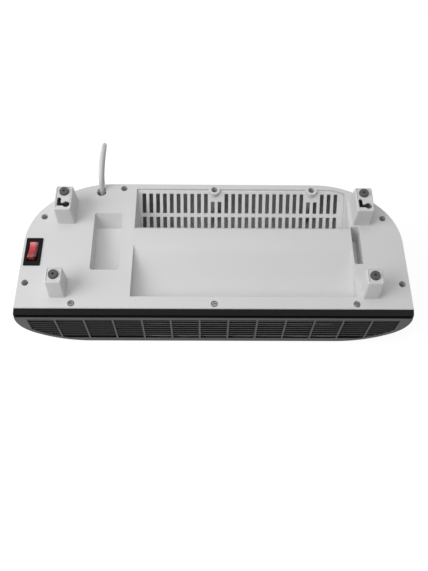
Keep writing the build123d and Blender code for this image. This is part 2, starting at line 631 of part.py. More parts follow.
def heater_tubes():
    """Three flat aluminium tubes that hold the PTC stones."""
    return [block(HEATER_X, HEATER_Y, (z - 2.4, z + 2.4)) for z in TUBE_Z]


def heater_fins():
    """Folded fin strips bonded above, between and below the tubes."""
    strips = []
    levels = (-44.8, -59.25, -73.75, -88.2)
    height, fold, sheet = 9.6, 9.0, 0.5
    for level in levels:
        count = int((HEATER_X[1] - HEATER_X[0] - 12) / fold)
        line = []
        for i in range(count + 1):
            line.append((HEATER_X[0] + 6 + i * fold, level + (height - sheet) / 2 * (-1) ** i))
        upper = [(x, z + sheet / 2) for x, z in line]
        lower = [(x, z - sheet / 2) for x, z in reversed(line)]
        face = make_face(Polyline(*upper, *lower, close=True))
        strips.append(extrude(Plane.XZ.offset(-HEATER_Y[0] - 1) * face, amount=-(HEATER_Y[1] - HEATER_Y[0] - 2)))
    return strips


def heater_brackets():
    """Heat-proof end brackets that carry the heater in the duct."""
    ends = []
    for x, inner in (((DUCT_X[0], HEATER_X[0] + 4), HEATER_X[0]), ((HEATER_X[1] - 4, DUCT_X[1]), HEATER_X[1])):
        body = block(x, (HEATER_Y[0] - 2, HEATER_Y[1] + 2), (-95.0, -38.5))
        ends.append(body - [block(HEATER_X, HEATER_Y, (z - 2.4, z + 2.4)) for z in TUBE_Z])
    return ends


def thermal_cutout():
    """Bimetal cut-out on the heater's left bracket, facing the warm side."""
    x = HEATER_X[0] + 4
    can = rod((x, x + 5), 40.0, -66.5, 7.5)
    base = rod((x - 6, x), 40.0, -66.5, 6.6)
    strap = block((x - 1.0, x), (32.0, 48.5), (-78.0, -55.0))
    return can + base + strap


def control_board():
    """Main circuit board on the left of the body."""
    board = block(BOARD_X, BOARD_Y, (BOARD_Z - 1.6, BOARD_Z))
    return board - [peg(x, y, (BOARD_Z - 4, BOARD_Z + 4), 1.8) for x in BOARD_HOLES_X for y in BOARD_HOLES_Y]


def board_parts():
    """Relays, capacitor and filter on the board."""
    x, y, z = BOARD_X[0], BOARD_Y[0], BOARD_Z
    relays = [block((x + 8 + 22 * i, x + 27 + 22 * i), (y + 22, y + 37), (z, z + 16)) for i in range(2)]
    capacitor = peg(x + 54, y + 50, (z, z + 20), 7.5)
    film = block((x + 10, x + 34), (y + 50, y + 58), (z, z + 14))
    return relays + [capacitor, film]


def board_screws():
    """Four screws that hold the board to its posts."""
    screws = []
    for x in BOARD_HOLES_X:
        for y in BOARD_HOLES_Y:
            screws.append(peg(x, y, (BOARD_Z, BOARD_Z + 2), 3.2) + peg(x, y, (BOARD_Z - 8, BOARD_Z), 1.5))
    return screws


def board_posts():
    """Posts under the board, standing on the front shell."""
    posts = []
    for x in BOARD_HOLES_X:
        for y in BOARD_HOLES_Y:
            post_ = peg(x, y, (-DEPTH, BOARD_Z - 1.6), 3.6) & casing_solid(1.0)
            posts.append(post_ - peg(x, y, (BOARD_Z - 12, BOARD_Z), 1.55))
    return posts


def terminal_block():
    """Mains terminal block screwed beside the cord clamp."""
    body = block((-212, -180), (158, 174), (-24.0, -SKIN - 9))
    cells = [peg(-204 + 8 * i, 166, (-30, -SKIN), 2.0) for i in range(3)]
    foot = block((-214, -178), (160, 172), (-SKIN - 9, -SKIN))
    return body + foot - cells


def receiver_board():
    """Small board with the remote's receiver behind the window."""
    board = block((LENS_X[0] - 2, LENS_X[1] + 2), (LENS_Y[0] - 2, LENS_Y[1] + 2), (-DEPTH + 10, -DEPTH + 11.6))
    eye = block((LENS_X[0] + 18, LENS_X[0] + 25), (45, 53), (-DEPTH + 4.4, -DEPTH + 10))
    spacers = []
    for x in (LENS_X[0] + 1, LENS_X[1] - 1):
        for y in (LENS_Y[0] + 1, LENS_Y[1] - 1):
            spacers.append(peg(x, y, (-DEPTH + SKIN + 1.6, -DEPTH + 10), 1.6))
    return board + eye + spacers


def cord_clamp():
    """Clamp bar that grips the cord against a rib just inside its hole."""
    x, y, _ = CORD_HOLE
    bar = block((x - 15, x + 15), (y - 9.6, y - 1.0), (-20.0, -11.0))
    return bar - peg(x, CORD_ROUTE[0][1], (-24, -8), CORD_D / 2 + 0.05) - clamp_pegs(1.45)


def clamp_rib():
    """Rib behind the cord, with the clamp screws' bosses, fused to the back cover."""
    x, y, _ = CORD_HOLE
    rib = block((x - 15, x + 15), (y + 1.8, y + 7.6), (-20.0, -SKIN))
    return rib - peg(x, CORD_ROUTE[0][1], (-24, 0), 5.2) - clamp_pegs(1.45)


def clamp_pegs(r):
    """Shanks of the two clamp screws, or their holes."""
    x, y, _ = CORD_HOLE
    return [Pos(x + s * 11.2, y - 2.3, -15.5) * Rot(90, 0, 0) * Cylinder(r, 14.6) for s in (-1, 1)]


def clamp_screws():
    """Two screws that pull the clamp bar onto the rib."""
    x, y, _ = CORD_HOLE
    heads = [Pos(x + s * 11.2, y - 10.6, -15.5) * Rot(90, 0, 0) * Cylinder(2.9, 2.0) for s in (-1, 1)]
    return [shank + head for shank, head in zip(clamp_pegs(1.4), heads)]


def tube_along(path, radius):
    """Tube with a few flat sides swept along a tangent path, and its volume's share of the true one."""
    start = Plane(path @ 0, z_dir=path % 0)
    section = RegularPolygon(radius, CORD_SIDES)
    tube = sweep(start * section, path=path)
    return tube, tube.volume / (path.length * section.area)


def mains_cord():
    """Free stretch of the cord, as straight runs joined by tangent arcs."""
    end = (HANK_X - HANK_HALF - CORD_D, HANK_Y - HANK_FOLD, HANK_Z)
    points = [Vector(*p) for p in CORD_ROUTE + [end]]
    radii = []
    for a, b, c in zip(points, points[1:], points[2:]):
        turn = (b - a).get_angle(c - b)
        shorter = min((b - a).length, (c - b).length)
        radii.append(0.45 * shorter / math.tan(math.radians(turn / 2)))
    print("cord radii", [round(r, 1) for r in radii])
    path = FilletPolyline(*points, radius=radii)
    tube, share = tube_along(path, CORD_D / 2)
    print("cord length", round(path.length), "volume share", round(share, 4))
    return tube


def swing(start, reach, drift, climb):
    """One S-bend along X: two equal arcs that shift sideways and up."""
    half = Vector(start) + Vector(reach / 2, drift / 2, climb / 2)
    stop = Vector(start) + Vector(reach, drift, climb)
    heading = Vector(math.copysign(1, reach), 0, 0)
    first = TangentArc(start, half, tangent=heading)
    return [first, TangentArc(half, stop, tangent=first % 1)], stop


def hank_edges():
    """The hank as one run: waisted loops that climb one cord's pitch on each far run."""
    x0, x1 = HANK_X - HANK_HALF, HANK_X + HANK_HALF
    pull = HANK_FOLD - HANK_WAIST
    at = Vector(x0, HANK_Y - HANK_FOLD, HANK_Z)
    edges = [Line(at - Vector(CORD_D, 0, 0), at)]
    for turn in range(HANK_LOOPS + 1):
        for drift in (pull, -pull):
            bend, at = swing(at, HANK_HALF, drift, 0)
            edges += bend
        if turn == HANK_LOOPS:
            break
        edges += fold(at, 1)
        at = at + Vector(0, 2 * HANK_FOLD, 0)
        for drift in (-pull, pull):
            bend, at = swing(at, -HANK_HALF, drift, HANK_PITCH / 2)
            edges += bend
        edges += fold(at, -1)
        at = at - Vector(0, 2 * HANK_FOLD, 0)
    lead = at + Vector(HANK_LEAD, 0, 0)
    bend, low = swing(lead, 40.0, 0, -DEPTH + PLUG_HALF - at.Z)
    end = low + Vector(CORD_D, 0, 0)
    return edges + [Line(at, lead)] + bend + [Line(low, end)], end


def fold(at, way):
    """Half turn at one end of the hank, as two quarter arcs."""
    tip = at + Vector(way * HANK_FOLD, way * HANK_FOLD, 0)
    first = TangentArc(at, tip, tangent=(way, 0, 0))
    return [first, TangentArc(tip, at + Vector(0, way * 2 * HANK_FOLD, 0), tangent=first % 1)]


def least_gap(path):
    """Smallest space between the hank and itself, on points along its run."""
    count = 900
    points = [path.position_at(i / count) for i in range(count + 1)]
    step = path.length / count
    skip = int(3 * CORD_D / step)
    gap = 1e9
    for i, p in enumerate(points):
        for q in points[i + skip :]:
            gap = min(gap, (p - q).length)
    return gap - CORD_D


def cord_hank():
    """The rest of the cord, folded up in a tied hank."""
    edges, _ = hank_edges()
    path = Wire(edges)
    tube, share = tube_along(path, CORD_D / 2)
    print("hank length", round(path.length), "least gap", round(least_gap(path), 2))
    print("hank volume share", round(share, 4))
    return tube


def hank_tie():
    """Strap round the hank's waist."""
    top = HANK_Z + HANK_LOOPS * HANK_PITCH + CORD_D / 2 + 0.5
    low = HANK_Z - CORD_D / 2 - 0.3
    wide, wall = HANK_WAIST + CORD_D / 2 + 0.4, 1.1
    x = (HANK_X - 3.0, HANK_X + 3.0)
    outer = block(x, (HANK_Y - wide - wall, HANK_Y + wide + wall), (low - wall, top + wall))
    outer = fillet(outer.edges().filter_by(Axis.X), 3.0)
    inner = block((x[0] - 1, x[1] + 1), (HANK_Y - wide, HANK_Y + wide), (low, top))
    inner = fillet(inner.edges().filter_by(Axis.X), 2.0)
    lock = block((x[0] - 1, x[1] + 1), (HANK_Y + 1, HANK_Y + 7), (top + 0.4, top + 4.5))
    return outer - inner + lock


def mains_plug():
    """Round unearthed two-pin plug, lying on its side."""
    _, at = hank_edges()
    sleeve = Cone(CORD_D / 2 + 1.2, CORD_D / 2 + 2.6, 22.0)
    body = Cylinder(14.0, 8.0) + Pos(0, 0, 9.0) * Cone(14.0, 18.0, 10.0) + Pos(0, 0, 21.0) * Cylinder(18.0, 14.0)
    body = Pos(0, 0, 26.0) * body
    flats = [Pos(0, s * (PLUG_HALF + 5), 40.0) * Box(60, 10, 60) for s in (-1, 1)]
    plug = Pos(0, 0, 11.0) * sleeve + (body - flats)
    plug -= [Pos(s * 9.5, 0, 48.0) * Cylinder(2.4, 20.0) for s in (-1, 1)]
    return Pos(at.X, at.Y, at.Z) * Rot(0, 90, 0) * Rot(0, 0, 90) * plug


def plug_pins():
    """Two brass pins of the plug."""
    _, at = hank_edges()
    pins = []
    for s in (-1, 1):
        pin = Pos(s * 9.5, 0, 38.0 + 14.5) * Cylinder(2.4, 29.0)
        pin = chamfer(pin.edges().group_by(Axis.Z)[-1], 1.0)
        pins.append(Pos(at.X, at.Y, at.Z) * Rot(0, 90, 0) * Rot(0, 0, 90) * pin)
    return pins


def write(name, shape):
    """One STEP file for one piece or one group of like pieces."""
    solids = shape if isinstance(shape, list) else [shape]
    solids = [s for item in solids for s in item.solids()]
    moved = [move_home(s) for s in solids]
    export_step(moved[0] if len(moved) == 1 else Compound(children=moved), f"parts/{name}.step")


os.makedirs("parts", exist_ok=True)
cord = mains_cord()
write("rear_cover", rear_cover() + clamp_rib())
write("inlet_grille", inlet_grille())
write("front_cover", front_cover() + board_posts())
for make in (
    receiver_lens, outlet_grille, rubber_feet, cover_screws, switch_housing, switch_rocker, fan_duct,
    front_guide, fan_impeller, fan_end_pin, end_bush, bearing_cushion, motor_stator, motor_coil,
    motor_brackets, motor_rotor, motor_shaft, motor_screws, heater_tubes, heater_fins, heater_brackets,
    thermal_cutout, control_board, board_parts, board_screws, terminal_block, receiver_board, cord_clamp,
    clamp_screws, cord_hank, hank_tie, mains_plug, plug_pins,
):
    write(make.__name__, make())
write("mains_cord", cord)
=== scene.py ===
"""Wall-mounted heating air curtain, lying on its front with its back cover up."""

import json
import math

import bmesh
import bpy
from mathutils import Matrix, Vector

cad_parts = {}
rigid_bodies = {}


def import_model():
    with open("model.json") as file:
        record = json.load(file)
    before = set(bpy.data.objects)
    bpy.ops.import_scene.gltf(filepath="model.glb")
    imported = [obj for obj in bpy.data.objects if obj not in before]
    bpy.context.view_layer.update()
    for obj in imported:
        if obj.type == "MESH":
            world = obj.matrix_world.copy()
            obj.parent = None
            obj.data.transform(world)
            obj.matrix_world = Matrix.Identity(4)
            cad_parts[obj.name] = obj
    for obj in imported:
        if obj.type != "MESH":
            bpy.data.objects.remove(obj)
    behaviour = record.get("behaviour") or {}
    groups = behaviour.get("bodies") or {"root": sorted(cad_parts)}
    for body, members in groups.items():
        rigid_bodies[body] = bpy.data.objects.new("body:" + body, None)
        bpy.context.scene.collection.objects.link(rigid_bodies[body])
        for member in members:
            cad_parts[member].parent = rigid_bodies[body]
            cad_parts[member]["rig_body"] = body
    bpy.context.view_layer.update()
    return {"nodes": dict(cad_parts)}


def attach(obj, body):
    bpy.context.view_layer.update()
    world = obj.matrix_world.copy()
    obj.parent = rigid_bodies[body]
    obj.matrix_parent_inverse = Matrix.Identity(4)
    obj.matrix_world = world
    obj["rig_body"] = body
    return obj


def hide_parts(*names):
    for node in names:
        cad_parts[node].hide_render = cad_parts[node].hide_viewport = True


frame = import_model()
scene = bpy.context.scene

# Camera
# It stands in front of the outlet and looks steeply down on the back cover, a little
# from the left, as solved from the cover's outline in the photograph.
CAMERA_PLACE = (-0.01103, -0.46043, 0.84289)
CAMERA_TURN = (27.976, -0.748, -0.136)
camera_data = bpy.data.cameras.new("camera")
camera_data.lens = 39.66
camera_data.sensor_width = 36.0
camera = bpy.data.objects.new("camera", camera_data)
camera.location = CAMERA_PLACE
camera.rotation_euler = [math.radians(a) for a in CAMERA_TURN]
scene.collection.objects.link(camera)
scene.camera = camera
scene.view_settings.view_transform = "Standard"

# Studio
# A broad soft light hangs to the left, a weak one fills from the right and a third
# hangs overhead. What the camera sees of the surroundings is plain white.
DAYLIGHT = 0.26
FLOOR_HALF = 6.0
FLOOR_GLOW, GLOW_SHARE = 1.14, 0.80
for label, place, size, power in (
    ("key_light", (-1.45, -0.50, 1.25), 1.6, 24.0),
    ("fill_light", (1.10, -0.90, 0.90), 0.9, 0.7),
    ("top_light", (-0.15, 0.25, 1.70), 1.4, 8.2),
):
    lamp = bpy.data.lights.new(label, "AREA")
    lamp.shape = "DISK"
    lamp.size = size
    lamp.energy = power
    holder = bpy.data.objects.new(label, lamp)
    holder.location = place
    holder.rotation_euler = (-Vector(place)).to_track_quat("-Z", "Y").to_euler()
    scene.collection.objects.link(holder)


def node_in(tree, kind, sockets):
    """A shader node with the named sockets filled in."""
    node = tree.nodes.new(kind)
    for socket, value in sockets.items():
        node.inputs[socket].default_value = value
    return node


def seen_directly(tree):
    """1 for rays from the camera, mirrors and glass, and 0 for the rest."""
    rays = tree.nodes.new("ShaderNodeLightPath")
    total = rays.outputs["Is Camera Ray"]
    for kind in ("Is Glossy Ray", "Is Transmission Ray"):
        either = tree.nodes.new("ShaderNodeMath")
        either.operation = "MAXIMUM"
        tree.links.new(total, either.inputs[0])
        tree.links.new(rays.outputs[kind], either.inputs[1])
        total = either.outputs[0]
    return total


world = bpy.data.worlds.new("studio")
scene.world = world
world.use_nodes = True
sky = world.node_tree
sky.nodes.clear()
daylight = node_in(sky, "ShaderNodeBackground", {"Color": (0.97, 0.985, 1.0, 1), "Strength": DAYLIGHT})
white_wall = node_in(sky, "ShaderNodeBackground", {"Color": (1, 1, 1, 1), "Strength": 1.0})
pick = sky.nodes.new("ShaderNodeMixShader")
sky.links.new(seen_directly(sky), pick.inputs["Fac"])
sky.links.new(daylight.outputs[0], pick.inputs[1])
sky.links.new(white_wall.outputs[0], pick.inputs[2])
sky.links.new(pick.outputs[0], sky.nodes.new("ShaderNodeOutputWorld").inputs["Surface"])

floor_mesh = bmesh.new()
bmesh.ops.create_grid(floor_mesh, x_segments=1, y_segments=1, size=FLOOR_HALF)
floor_data = bpy.data.meshes.new("floor")
floor_mesh.to_mesh(floor_data)
floor_mesh.free()
floor = bpy.data.objects.new("floor", floor_data)
scene.collection.objects.link(floor)

floor_paint = bpy.data.materials.new("floor_paint")
floor_paint.use_nodes = True
paint = floor_paint.node_tree
paint.nodes.clear()
matt = node_in(paint, "ShaderNodeBsdfDiffuse", {"Color": (0.82, 0.82, 0.82, 1)})
glow = node_in(paint, "ShaderNodeEmission", {"Strength": FLOOR_GLOW})
share = paint.nodes.new("ShaderNodeMath")
share.operation = "MULTIPLY"
share.inputs[1].default_value = GLOW_SHARE
paint.links.new(seen_directly(paint), share.inputs[0])
blend = paint.nodes.new("ShaderNodeMixShader")
paint.links.new(share.outputs[0], blend.inputs["Fac"])
paint.links.new(matt.outputs[0], blend.inputs[1])
paint.links.new(glow.outputs[0], blend.inputs[2])
paint.links.new(blend.outputs[0], paint.nodes.new("ShaderNodeOutputMaterial").inputs["Surface"])
floor_data.materials.append(floor_paint)

# Mains cord
# White round PVC lead. It rises from its hole in the back cover, arches over the
# top edge and ends in a tied hank behind the body, which leads to the plug.
CORD_DIAMETER = 0.0068
FREE_ROUTE = [
    (-0.1610, 0.0815, 0.078), (-0.1610, 0.0815, 0.114), (-0.1598, 0.1055, 0.138),
    (-0.1580, 0.1395, 0.138), (-0.1620, 0.1635, 0.114), (-0.1700, 0.1635, 0.080),
    (-0.1740, 0.1445, 0.052), (-0.1710, 0.1245, 0.026), (-0.1530, 0.1105, 0.0075),
    (-0.1300, 0.1045, 0.0049),
]
HANK_MIDDLE = Vector((-0.030, 0.1235, 0.0049))
HANK_HALF, HANK_FOLD, HANK_WAIST = 0.066, 0.0204, 0.0046
HANK_LOOPS, HANK_PITCH = 2, 0.0079
HANK_BOWS = (1.04, 0.97)
RUN_STEPS, FOLD_STEPS = 8, 5
PLUG_ENTRY = Vector((0.0908, 0.1031, 0.0156))
LAST_STRETCH = ((0, 0), (0.011, 0), (0.022, 0.18), (0.034, 0.82), (0.045, 1))


def hank_run(way, turn, climb):
    """One long side of the hank, drawn in to its waist, without its last point."""
    points = []
    for i in range(RUN_STEPS):
        u = i / RUN_STEPS
        drawn_in = (1 - math.cos(2 * math.pi * u)) / 2
        side = -way * (HANK_FOLD - (HANK_FOLD - HANK_WAIST) * drawn_in)
        raised = (u - math.sin(4 * math.pi * u) / (4 * math.pi)) * climb
        lift = Vector((way * (2 * u - 1) * HANK_HALF, side, turn * HANK_PITCH + raised))
        points.append(HANK_MIDDLE + lift)
    return points


def hank_fold(way, level, bow):
    """Half turn at one end of the hank, without its last point."""
    points = []
    for i in range(FOLD_STEPS):
        a = math.pi * i / FOLD_STEPS
        side = -way * HANK_FOLD * math.cos(a)
        points.append(HANK_MIDDLE + Vector((way * (HANK_HALF + bow * math.sin(a)), side, level)))
    return points


cord_points = [Vector(p) for p in FREE_ROUTE]
cord_points.append(HANK_MIDDLE + Vector((-HANK_HALF - CORD_DIAMETER, -HANK_FOLD, 0)))
for turn in range(HANK_LOOPS):
    bow = HANK_FOLD * HANK_BOWS[turn]
    cord_points += hank_run(1, turn, 0.0)
    cord_points += hank_fold(1, turn * HANK_PITCH, bow)
    cord_points += hank_run(-1, turn, HANK_PITCH)
    cord_points += hank_fold(-1, (turn + 1) * HANK_PITCH, bow)
cord_points += hank_run(1, HANK_LOOPS, 0.0)
last = HANK_MIDDLE + Vector((HANK_HALF, -HANK_FOLD, HANK_LOOPS * HANK_PITCH))
drop = PLUG_ENTRY.z - last.z
for onward, fallen in LAST_STRETCH:
    cord_points.append(last + Vector((onward, 0, drop * fallen)))
cord_points.append(PLUG_ENTRY)

cord_data = bpy.data.curves.new("mains_lead", "CURVE")
cord_data.dimensions = "3D"
cord_data.bevel_depth = CORD_DIAMETER / 2
cord_data.bevel_resolution = 5
cord_data.resolution_u = 5
cord_data.use_fill_caps = True
spline = cord_data.splines.new("NURBS")
spline.points.add(len(cord_points) - 1)
for knot, place in zip(spline.points, cord_points):
    knot.co = (*place, 1.0)
spline.order_u = 3
spline.use_endpoint_u = True
mains_lead = bpy.data.objects.new("mains_lead", cord_data)
scene.collection.objects.link(mains_lead)


def bare_finish(name):
    """A new material, its node tree, its shader and the object's own coordinates."""
    finish = bpy.data.materials.new(name)
    finish.use_nodes = True
    tree = finish.node_tree
    place = tree.nodes.new("ShaderNodeTexCoord").outputs["Object"]
    return finish, tree, tree.nodes["Principled BSDF"], place


def noise_at(tree, place, sockets):
    """Fine noise pattern read at a place."""
    noise = node_in(tree, "ShaderNodeTexNoise", sockets)
    tree.links.new(place, noise.inputs["Vector"])
    return noise.outputs["Fac"]


def tint(tree, skin, pattern, dark, light, reach=(0.0, 1.0)):
    """Colours a surface between two shades by a pattern."""
    ramp = tree.nodes.new("ShaderNodeValToRGB")
    for element, position, colour in zip(ramp.color_ramp.elements, reach, (dark, light)):
        element.position = position
        element.color = (*colour, 1)
    tree.links.new(pattern, ramp.inputs["Fac"])
    tree.links.new(ramp.outputs["Color"], skin.inputs["Base Color"])


def wear(tree, skin, pattern, smoothest, roughest):
    """Varies the roughness of a surface by a pattern."""
    spread = node_in(tree, "ShaderNodeMapRange", {"To Min": smoothest, "To Max": roughest})
    tree.links.new(pattern, spread.inputs["Value"])
    tree.links.new(spread.outputs["Result"], skin.inputs["Roughness"])


def emboss(tree, skin, pattern, strength, depth):
    """Raises a pattern a little on a surface."""
    relief = node_in(tree, "ShaderNodeBump", {"Strength": strength, "Distance": depth})
    tree.links.new(pattern, relief.inputs["Height"])
    tree.links.new(relief.outputs["Normal"], skin.inputs["Normal"])


def moulded(
    name, colour, roughness, grain=0.25, grain_size=1500.0, shade=0.05, specular=0.5, coat=0.0, ior=1.5,
):
    """Moulded plastic or rubber: spark-eroded grain, faint flow clouds and handling marks."""
    finish, tree, skin, place = bare_finish(name)
    skin.inputs["Specular IOR Level"].default_value = specular
    skin.inputs["Coat Weight"].default_value = coat
    skin.inputs["IOR"].default_value = ior
    skin.inputs["Coat Roughness"].default_value = 0.08
    clouds = noise_at(tree, place, {"Scale": 14.0, "Detail": 4.0, "Roughness": 0.6})
    tint(tree, skin, clouds, [c * (1 - shade) for c in colour], colour, (0.3, 0.7))
    marks = noise_at(tree, place, {"Scale": 55.0, "Detail": 6.0, "Roughness": 0.7})
    wear(tree, skin, marks, roughness * 0.85, min(1.0, roughness * 1.2))
    pits = noise_at(tree, place, {"Scale": grain_size, "Detail": 2.0})
    emboss(tree, skin, pits, grain, 0.00008)
    return finish


cord_data.materials.append(moulded("lead_sheath", (0.66, 0.66, 0.65), 0.42, grain=0.12, shade=0.04))
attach(mains_lead, "casing")
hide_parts("mains_cord", "cord_hank")

# Mains plug
# Soft white moulding round two pins, one piece with its ribbed bend relief;
# its sides are pressed flat where the fingers hold it.
PLUG_R, PLUG_HALF = 0.018, 0.0156
PLUG_STEPS = 64
RING_COUNT, RING_PITCH, RING_PROUD = 5, 0.0035, 0.0008
RING_R, RING_WIDER = 0.0046, 0.0003
RING_RISE, RING_FALL, RING_END = 0.0004, 0.0021, 0.0026
JOIN_ON_AXIS = 0.000004
PLUG_SHARP = 35.0


def shade_by_angle(shape, sharp):
    """Smooth shading, but for edges sharper than an angle in degrees."""
    limit = math.radians(sharp)
    for edge in shape.edges:
        edge.smooth = len(edge.link_faces) == 2 and edge.calc_face_angle(0.0) < limit
    for face in shape.faces:
        face.smooth = True


profile = [(0, 0), (0.0040, 0)]
for i in range(RING_COUNT):
    step = RING_PITCH * i
    wide = RING_R + RING_WIDER * i
    profile += [
        (wide, step), (wide + RING_PROUD, step + RING_RISE),
        (wide + RING_PROUD, step + RING_FALL), (wide, step + RING_END),
    ]
profile += [
    (0.0068, 0.0215), (0.0085, 0.0238), (0.0118, 0.0252), (0.0134, 0.0272), (0.0140, 0.0300),
    (0.0143, 0.0330), (0.0155, 0.0365), (0.0170, 0.0395), (PLUG_R, 0.0425), (PLUG_R, 0.0530),
    (0.0176, 0.0537), (0.0168, 0.0540), (0, 0.0540),
]
plug_shape = bmesh.new()
outline = [plug_shape.verts.new((r, 0, h)) for r, h in profile]
for a, b in zip(outline, outline[1:]):
    plug_shape.edges.new((a, b))
bmesh.ops.spin(
    plug_shape, geom=plug_shape.verts[:] + plug_shape.edges[:], cent=(0, 0, 0), axis=(0, 0, 1),
    angle=math.tau, steps=PLUG_STEPS, use_merge=True,
)
bmesh.ops.remove_doubles(plug_shape, verts=plug_shape.verts, dist=JOIN_ON_AXIS)
for side in (-1, 1):
    bmesh.ops.bisect_plane(
        plug_shape, geom=plug_shape.verts[:] + plug_shape.edges[:] + plug_shape.faces[:],
        plane_co=(0, side * PLUG_HALF, 0), plane_no=(0, side, 0), clear_outer=True,
    )
    rim = [e for e in plug_shape.edges if e.is_boundary]
    bmesh.ops.contextual_create(plug_shape, geom=rim)
lying = Matrix.Rotation(math.pi / 2, 4, "Y") @ Matrix.Rotation(math.pi / 2, 4, "Z")
bmesh.ops.transform(plug_shape, matrix=Matrix.Translation(PLUG_ENTRY) @ lying, verts=plug_shape.verts)
bmesh.ops.recalc_face_normals(plug_shape, faces=plug_shape.faces)
shade_by_angle(plug_shape, PLUG_SHARP)
plug_data = bpy.data.meshes.new("lead_plug")
plug_shape.to_mesh(plug_data)
plug_shape.free()
plug_data.materials.append(moulded("plug_moulding", (0.66, 0.66, 0.65), 0.45, grain=0.5, grain_size=900.0))
plug = bpy.data.objects.new("lead_plug", plug_data)
scene.collection.objects.link(plug)
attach(plug, "casing")
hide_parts("mains_plug")


# Plug pins and cord tie
# Two round pins of plated brass, pressed into the plug, and a black nylon strap
# that holds the hank together. They complete the cord.
def metal(name, colour, roughness, brushed=(1, 1, 1), bright=0.10):
    """Bare metal with fine drawn lines and a little tarnish."""
    finish, tree, skin, place = bare_finish(name)
    skin.inputs["Metallic"].default_value = 1.0
    stretch = node_in(tree, "ShaderNodeMapping", {"Scale": brushed})
    tree.links.new(place, stretch.inputs["Vector"])
    lines = noise_at(tree, stretch.outputs["Vector"], {"Scale": 900.0, "Detail": 3.0})
    dull = [c * (1 - bright) for c in colour]
    shiny = [min(1.0, c * (1 + bright)) for c in colour]
    tint(tree, skin, lines, dull, shiny)
    wear(tree, skin, lines, roughness * 0.8, roughness * 1.3)
    emboss(tree, skin, lines, 0.15, 0.00004)
    return finish


def repaint(material, *nodes):
    """Gives pieces carried over from the solids their finish."""
    for node in nodes:
        data = frame["nodes"][node].data
        data.materials.clear()
        data.materials.append(material)


repaint(metal("plated_brass", (0.70, 0.66, 0.56), 0.22, (1, 1, 0.1)), "plug_pins")
repaint(moulded("tie_nylon", (0.02, 0.02, 0.02), 0.5, specular=0.4), "hank_tie")

# Back cover and inlet panel
# The cover is one white ABS moulding with a spark-eroded satin face, whose edges keep
# the mould's small radius. The slotted inlet panel drops into it from inside.
MOULD_RADIUS = 0.00035
JOIN_WITHIN = 0.000002
WELD_WITHIN = 0.000001
FLAT_WITHIN = 0.6
SHARP_OVER, BROKEN_OVER = 32.0, 38.0


def rounded_copy(node, radius=0.0, segments=2):
    """Copy of a solid's mesh with its vertices joined and its sharp edges broken."""
    shape = bmesh.new()
    shape.from_mesh(frame["nodes"][node].data)
    bmesh.ops.remove_doubles(shape, verts=shape.verts, dist=JOIN_WITHIN)
    if radius:
        flat = math.radians(FLAT_WITHIN)
        bmesh.ops.dissolve_limit(shape, angle_limit=flat, verts=shape.verts, edges=shape.edges)
    shade_by_angle(shape, SHARP_OVER)
    data = bpy.data.meshes.new(node + "_skin")
    shape.to_mesh(data)
    shape.free()
    piece = bpy.data.objects.new(node + "_skin", data)
    scene.collection.objects.link(piece)
    if radius:
        bevel = piece.modifiers.new("mould_radius", "BEVEL")
        bevel.width = radius
        bevel.segments = segments
        bevel.limit_method = "ANGLE"
        bevel.angle_limit = math.radians(BROKEN_OVER)
        bevel.use_clamp_overlap = False
        bevel.harden_normals = True
        weld = piece.modifiers.new("joined_points", "WELD")
        weld.merge_threshold = WELD_WITHIN
    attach(piece, frame["nodes"][node]["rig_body"])
    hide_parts(node)
    return piece


white_abs = moulded(
    "white_abs", (0.67, 0.67, 0.665), 0.42, grain=0.30, grain_size=1700.0, shade=0.025,
)
for node in ("rear_cover", "inlet_grille"):
    rounded_copy(node, MOULD_RADIUS).data.materials.append(white_abs)

# Front shell
# Shell moulded in white and lacquered glossy black outside. It wraps the front and
# sides and shows as a band above the outlet, with a dull groove along its foot.
GLOSS_SLOT, INSIDE_SLOT, DULL_SLOT = 0, 1, 2
CORE_LOW, CORE_HIGH = Vector((-0.16, -0.05, 0.05)), Vector((0.16, 0.02, 0.05))
FACING_FRONT = -0.99
BAND_Y = -0.1033
SEAT_OUTER_Y, SEAT_INNER_Y = -0.1030, -0.0950
GROOVE_LOW, GROOVE_HIGH = 0.0824, 0.0858
GROOVE_END, GROOVE_DEPTH = 0.2640, 0.0008

black_gloss = moulded("black_gloss", (0.006, 0.006, 0.0065), 0.16, grain=0.02, shade=0.1, ior=1.07)
shell_inside = moulded("shell_inside", (0.62, 0.62, 0.615), 0.55, grain=0.3)
shell_dull = moulded("shell_unpolished", (0.006, 0.006, 0.006), 0.7, grain=0.3, ior=1.04)
front_shell = rounded_copy("front_cover")
for finish in (black_gloss, shell_inside, shell_dull):
    front_shell.data.materials.append(finish)
# Faces turned towards a core in the middle of the body are the white inside, and
# the lacquer is dull where the outlet plate has its seat.
for face in front_shell.data.polygons:
    core = Vector(min(max(c, low), high) for c, low, high in zip(face.center, CORE_LOW, CORE_HIGH))
    turned_in = face.normal.dot(face.center - core) < 0
    face.material_index = INSIDE_SLOT if turned_in else GLOSS_SLOT
    if face.normal.y < FACING_FRONT and SEAT_OUTER_Y < face.center.y < SEAT_INNER_Y:
        face.material_index = DULL_SLOT

